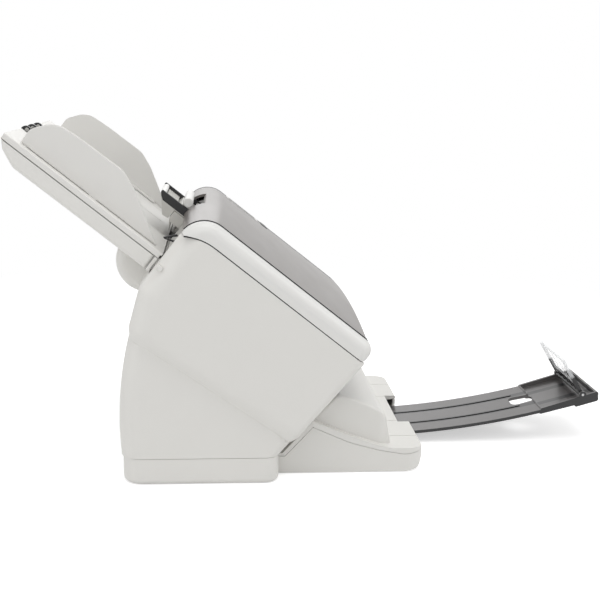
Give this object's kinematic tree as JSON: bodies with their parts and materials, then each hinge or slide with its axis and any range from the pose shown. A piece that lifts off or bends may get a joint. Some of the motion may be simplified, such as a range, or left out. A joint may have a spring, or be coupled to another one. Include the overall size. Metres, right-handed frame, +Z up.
{
  "type": "sheet-fed scanner",
  "caption": "Desktop sheet-fed document scanner with hinged lid, sloped hopper with guides, and a pull-out curved exit tray with a folding stopper.",
  "frame": {"origin": "middle of the plinth underside, on the surface the scanner stands on", "axes": "+X along the width, sheets leave towards -Y, hopper rises towards +Y, +Z up"},
  "size_m": [0.3, 0.559, 0.3141],
  "materials": {
    "shell_white": "fine satin texture",
    "lid_white": "fine satin texture",
    "guide_white": "fine satin texture",
    "smoke_panel": "gloss",
    "dark_plastic": "satin",
    "charcoal_plastic": "satin",
    "grey_plastic": "satin",
    "black_gloss": "gloss",
    "glass_clear": "polished",
    "clear_plastic": "polished",
    "steel": "rolled",
    "gear_plastic": "moulded",
    "rubber_black": "matt",
    "rubber_grey": "matt",
    "board_green": "satin"
  },
  "bodies": {
    "base": {"base_plinth": "shell_white", "rubber_feet": "rubber_black", "case_screws": "steel", "side_cover_right": "shell_white", "side_cover_left": "shell_white", "rear_cover": "shell_white", "front_cover": "shell_white", "chassis_frame": "steel", "shaft_bushes": "gear_plastic", "lower_guide": "dark_plastic", "lower_glass": "glass_clear", "lower_sensor": "dark_plastic", "main_board": "board_green", "dc_inlet": "dark_plastic", "usb_port": "dark_plastic", "drive_motor": "steel", "tray_lower_shell": "shell_white", "tray_top_shell": "shell_white", "tray_feet": "rubber_black"},
    "motor_rotor": {"motor_pinion": "steel"},
    "gear_rear": {"idler_rear": "gear_plastic"},
    "gear_middle": {"idler_middle": "gear_plastic"},
    "gear_fore": {"idler_fore": "gear_plastic"},
    "gear_pick": {"pick_idler": "gear_plastic"},
    "feed_roller": {"feed_shaft": "steel", "feed_tyres": "rubber_grey"},
    "eject_roller": {"eject_shaft": "steel", "eject_tyres": "rubber_grey"},
    "pick_unit": {"pick_shaft": "steel", "pick_roller": "rubber_grey"},
    "lid": {"lid_frame": "lid_white", "smoke_panel": "smoke_panel", "display_bezel": "lid_white", "display_window": "black_gloss", "upper_housing": "dark_plastic", "upper_glass": "glass_clear", "upper_sensor": "dark_plastic", "hinge_pins": "steel", "separation_cover": "grey_plastic", "lever_pin": "steel"},
    "start": {"start_button": "black_gloss"},
    "stop": {"stop_button": "black_gloss"},
    "feed_nip": {"feed_pinch": "grey_plastic"},
    "eject_nip": {"eject_pinch": "grey_plastic"},
    "separator": {"separation_roller": "rubber_grey"},
    "lever": {"lever_cheeks": "dark_plastic", "lever_bars": "lid_white", "lever_grip": "grey_plastic"},
    "hopper": {"hopper_plate": "shell_white", "hopper_shell": "shell_white", "hopper_pins": "steel"},
    "left_guide": {"guide_left": "guide_white"},
    "right_guide": {"guide_right": "guide_white"},
    "rack_gear": {"guide_pinion": "gear_plastic"},
    "chute": {"hopper_extension": "grey_plastic", "extension_grip": "charcoal_plastic"},
    "tray_slide": {"tray_extension": "charcoal_plastic", "stopper_pin": "steel"},
    "stopper": {"stopper_frame": "dark_plastic", "stopper_plate": "clear_plastic"}
  },
  "joints": [
    {"name": "gear_middle_spin", "type": "hinge", "parent": "base", "child": "gear_middle", "pos_m": [0, -0.03991, 0.12848], "axis": [1, 0, 0], "continuous": true},
    {"name": "motor_spin", "type": "hinge", "parent": "base", "child": "motor_rotor", "pos_m": [0, -0.02621, 0.11126], "axis": [1, 0, 0], "continuous": true},
    {"name": "gear_rear_spin", "type": "hinge", "parent": "base", "child": "gear_rear", "pos_m": [0, -0.01771, 0.15153], "axis": [1, 0, 0], "continuous": true},
    {"name": "gear_fore_spin", "type": "hinge", "parent": "base", "child": "gear_fore", "pos_m": [0, -0.06736, 0.11204], "axis": [1, 0, 0], "continuous": true},
    {"name": "feed_spin", "type": "hinge", "parent": "base", "child": "feed_roller", "pos_m": [0, -0.00038, 0.16955], "axis": [1, 0, 0], "continuous": true},
    {"name": "eject_spin", "type": "hinge", "parent": "base", "child": "eject_roller", "pos_m": [0, -0.08881, 0.0992], "axis": [1, 0, 0], "continuous": true},
    {"name": "gear_pick_spin", "type": "hinge", "parent": "base", "child": "gear_pick", "pos_m": [0, 0.01789, 0.1706], "axis": [1, 0, 0], "continuous": true},
    {"name": "pick_spin", "type": "hinge", "parent": "base", "child": "pick_unit", "pos_m": [0, 0.02709, 0.18641], "axis": [1, 0, 0], "continuous": true},
    {"name": "lid_hinge", "type": "hinge", "parent": "base", "child": "lid", "pos_m": [0, -0.14297, 0.11669], "axis": [1, 0, 0], "range_deg": [0, 62]},
    {"name": "feed_nip_spin", "type": "hinge", "parent": "lid", "child": "feed_nip", "pos_m": [0, -0.00872, 0.18003], "axis": [1, 0, 0], "continuous": true},
    {"name": "eject_nip_spin", "type": "hinge", "parent": "lid", "child": "eject_nip", "pos_m": [0, -0.09715, 0.10969], "axis": [1, 0, 0], "continuous": true},
    {"name": "separator_spin", "type": "hinge", "parent": "lid", "child": "separator", "pos_m": [0, 0.01253, 0.20473], "axis": [1, 0, 0], "continuous": true},
    {"name": "lever_lift", "type": "hinge", "parent": "lid", "child": "lever", "pos_m": [0, 0.00093, 0.22413], "axis": [1, 0, 0], "range_deg": [0, 15], "stiffness_Nm_per_rad": 0.05},
    {"name": "start_press", "type": "slide", "parent": "lid", "child": "start", "axis": [0, 0.6225, -0.7826], "range_m": [0, 0.001], "stiffness_N_per_m": 500, "springref_m": -0.0005},
    {"name": "stop_press", "type": "slide", "parent": "lid", "child": "stop", "axis": [0, 0.6225, -0.7826], "range_m": [0, 0.001], "stiffness_N_per_m": 500, "springref_m": -0.0005},
    {"name": "hopper_fold", "type": "hinge", "parent": "base", "child": "hopper", "pos_m": [0, 0.02942, 0.19312], "axis": [1, 0, 0], "range_deg": [0, 12]},
    {"name": "left_guide_slide", "type": "slide", "parent": "hopper", "child": "left_guide", "axis": [1, 0, 0], "range_m": [0, 0.085]},
    {"name": "right_guide_slide", "type": "slide", "parent": "hopper", "child": "right_guide", "axis": [-1, 0, 0], "range_m": [0, 0.085]},
    {"name": "rack_gear_spin", "type": "hinge", "parent": "hopper", "child": "rack_gear", "pos_m": [0, 0.0961, 0.24424], "axis": [0, -0.6225, 0.7826], "range_deg": [-620, 620]},
    {"name": "chute_slide", "type": "slide", "parent": "hopper", "child": "chute", "axis": [0, 0.7826, 0.6225], "range_m": [0, 0.11]},
    {"name": "tray_slide_in", "type": "hinge", "parent": "base", "child": "tray_slide", "pos_m": [0, -0.146, 0.80987], "axis": [1, 0, 0], "range_deg": [0, 7]},
    {"name": "stopper_fold", "type": "hinge", "parent": "tray_slide", "child": "stopper", "pos_m": [0, -0.375, 0.047], "axis": [1, 0, 0], "range_deg": [-76, 0]}
  ],
  "couplings": [
    {"joint": "motor_spin", "follows": "gear_middle_spin", "ratio": -2.6667},
    {"joint": "gear_rear_spin", "follows": "gear_middle_spin", "ratio": -1},
    {"joint": "gear_fore_spin", "follows": "gear_middle_spin", "ratio": -1},
    {"joint": "feed_spin", "follows": "gear_middle_spin", "ratio": 1.7778},
    {"joint": "eject_spin", "follows": "gear_middle_spin", "ratio": 1.7778},
    {"joint": "gear_pick_spin", "follows": "gear_middle_spin", "ratio": -0.52955},
    {"joint": "pick_spin", "follows": "gear_middle_spin", "ratio": 1.7778},
    {"joint": "right_guide_slide", "follows": "left_guide_slide", "ratio": 1},
    {"joint": "rack_gear_spin", "follows": "left_guide_slide", "rad_per_m": -125}
  ]
}
